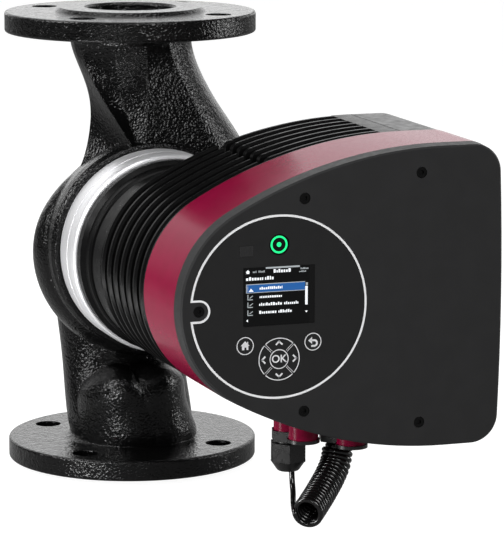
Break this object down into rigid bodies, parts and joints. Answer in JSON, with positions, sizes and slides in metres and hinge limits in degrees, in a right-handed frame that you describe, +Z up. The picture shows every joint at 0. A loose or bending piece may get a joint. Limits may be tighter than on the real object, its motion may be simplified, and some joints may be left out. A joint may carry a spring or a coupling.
{
  "type": "circulator pump",
  "caption": "Wet-rotor circulator pump with in-line flanged ports, a clamped motor with cooling fins and an electronic control box with keypad and display.",
  "frame": {"origin": "centre of the lower port face, on the pipe axis", "axes": "+Z up the pipe axis to the upper port, -Y along the motor axis towards the control panel, +X to the right seen from the panel"},
  "size_m": [0.2577, 0.4049, 0.34],
  "materials": {
    "cast_paint": "glossy black paint over rough cast iron",
    "motor_paint": "satin black paint on cast aluminium",
    "sink_paint": "satin black paint on cast aluminium fins",
    "stainless": "pressed stainless steel",
    "clamp_stainless": "bright pressed stainless steel",
    "shaft_steel": "ground steel",
    "rotor_iron": "laminated rotor with magnets",
    "lamination": "stacked sheet",
    "copper": "enamelled copper wire",
    "graphite": "carbon ring",
    "ceramic_white": "ground ceramic",
    "rubber_black": "moulded rubber",
    "crimson_plastic": "crimson moulded plastic, satin",
    "box_plastic": "black moulded plastic",
    "cover_plastic": "black moulded plastic, fine texture",
    "panel_plastic": "black foil over plastic",
    "trim_silver": "pale printed ring",
    "key_plastic": "soft black keys",
    "screen": "colour display",
    "lamp_green": "translucent lamp cover",
    "window_grey": "infra-red window",
    "circuit_green": "circuit board",
    "capacitor_black": "sleeved capacitor",
    "terminal_grey": "moulded terminal strip",
    "screw_black": "blackened screw",
    "gland_plastic": "black polyamide",
    "cord_black": "black sheathed lead"
  },
  "bodies": {
    "pump": {"pump_housing": "cast_paint", "neck_ring": "stainless", "housing_gasket": "rubber_black", "bearing_plate": "stainless", "wet_end_bearing": "ceramic_white", "end_bearing": "ceramic_white", "end_bearing_plate": "stainless", "rotor_can": "stainless", "stator_core": "lamination", "stator_windings": "copper", "stator_housing": "motor_paint", "clamp_ring": "clamp_stainless", "clamp_screw": "stainless", "heat_sink": "sink_paint", "heat_sink_screws": "stainless", "end_housing": "box_plastic", "control_box_frame": "crimson_plastic", "frame_screws": "stainless", "power_board": "circuit_green", "capacitors": "capacitor_black", "terminal_block": "terminal_grey", "front_cover": "cover_plastic", "box_seal": "rubber_black", "cover_screws": "screw_black", "operator_panel": "panel_plastic", "panel_trim": "trim_silver", "display_module": "screen", "control_board": "circuit_green", "indicator_lens": "lamp_green", "ir_window": "window_grey", "blanking_plugs": "gland_plastic", "gland_body": "gland_plastic", "gland_nut": "gland_plastic", "gland_seal": "rubber_black", "coil_gland": "gland_plastic", "lead_straight": "cord_black", "lead_coil": "cord_black"},
    "rotor": {"impeller": "stainless", "impeller_nut": "stainless", "shaft": "shaft_steel", "rotor_core": "rotor_iron", "rotor_sleeve": "stainless", "thrust_bearing": "graphite"},
    "home_key": {"home_key": "key_plastic"},
    "back_key": {"back_key": "key_plastic"},
    "ok_key": {"ok_key": "key_plastic"},
    "up_key": {"up_key": "key_plastic"},
    "down_key": {"down_key": "key_plastic"},
    "left_key": {"left_key": "key_plastic"},
    "right_key": {"right_key": "key_plastic"}
  },
  "joints": [
    {"name": "rotor_spin", "type": "hinge", "parent": "pump", "child": "rotor", "pos_m": [0, 0, 0.17], "axis": [0, 1, 0], "continuous": true},
    {"name": "home_key_press", "type": "slide", "parent": "pump", "child": "home_key", "axis": [0, 1, 0], "range_m": [0, 0.0005], "stiffness_N_per_m": 400, "springref_m": -0.0005},
    {"name": "back_key_press", "type": "slide", "parent": "pump", "child": "back_key", "axis": [0, 1, 0], "range_m": [0, 0.0005], "stiffness_N_per_m": 400, "springref_m": -0.0005},
    {"name": "ok_key_press", "type": "slide", "parent": "pump", "child": "ok_key", "axis": [0, 1, 0], "range_m": [0, 0.0005], "stiffness_N_per_m": 400, "springref_m": -0.0005},
    {"name": "up_key_press", "type": "slide", "parent": "pump", "child": "up_key", "axis": [0, 1, 0], "range_m": [0, 0.0005], "stiffness_N_per_m": 400, "springref_m": -0.0005},
    {"name": "down_key_press", "type": "slide", "parent": "pump", "child": "down_key", "axis": [0, 1, 0], "range_m": [0, 0.0005], "stiffness_N_per_m": 400, "springref_m": -0.0005},
    {"name": "left_key_press", "type": "slide", "parent": "pump", "child": "left_key", "axis": [0, 1, 0], "range_m": [0, 0.0005], "stiffness_N_per_m": 400, "springref_m": -0.0005},
    {"name": "right_key_press", "type": "slide", "parent": "pump", "child": "right_key", "axis": [0, 1, 0], "range_m": [0, 0.0005], "stiffness_N_per_m": 400, "springref_m": -0.0005}
  ]
}
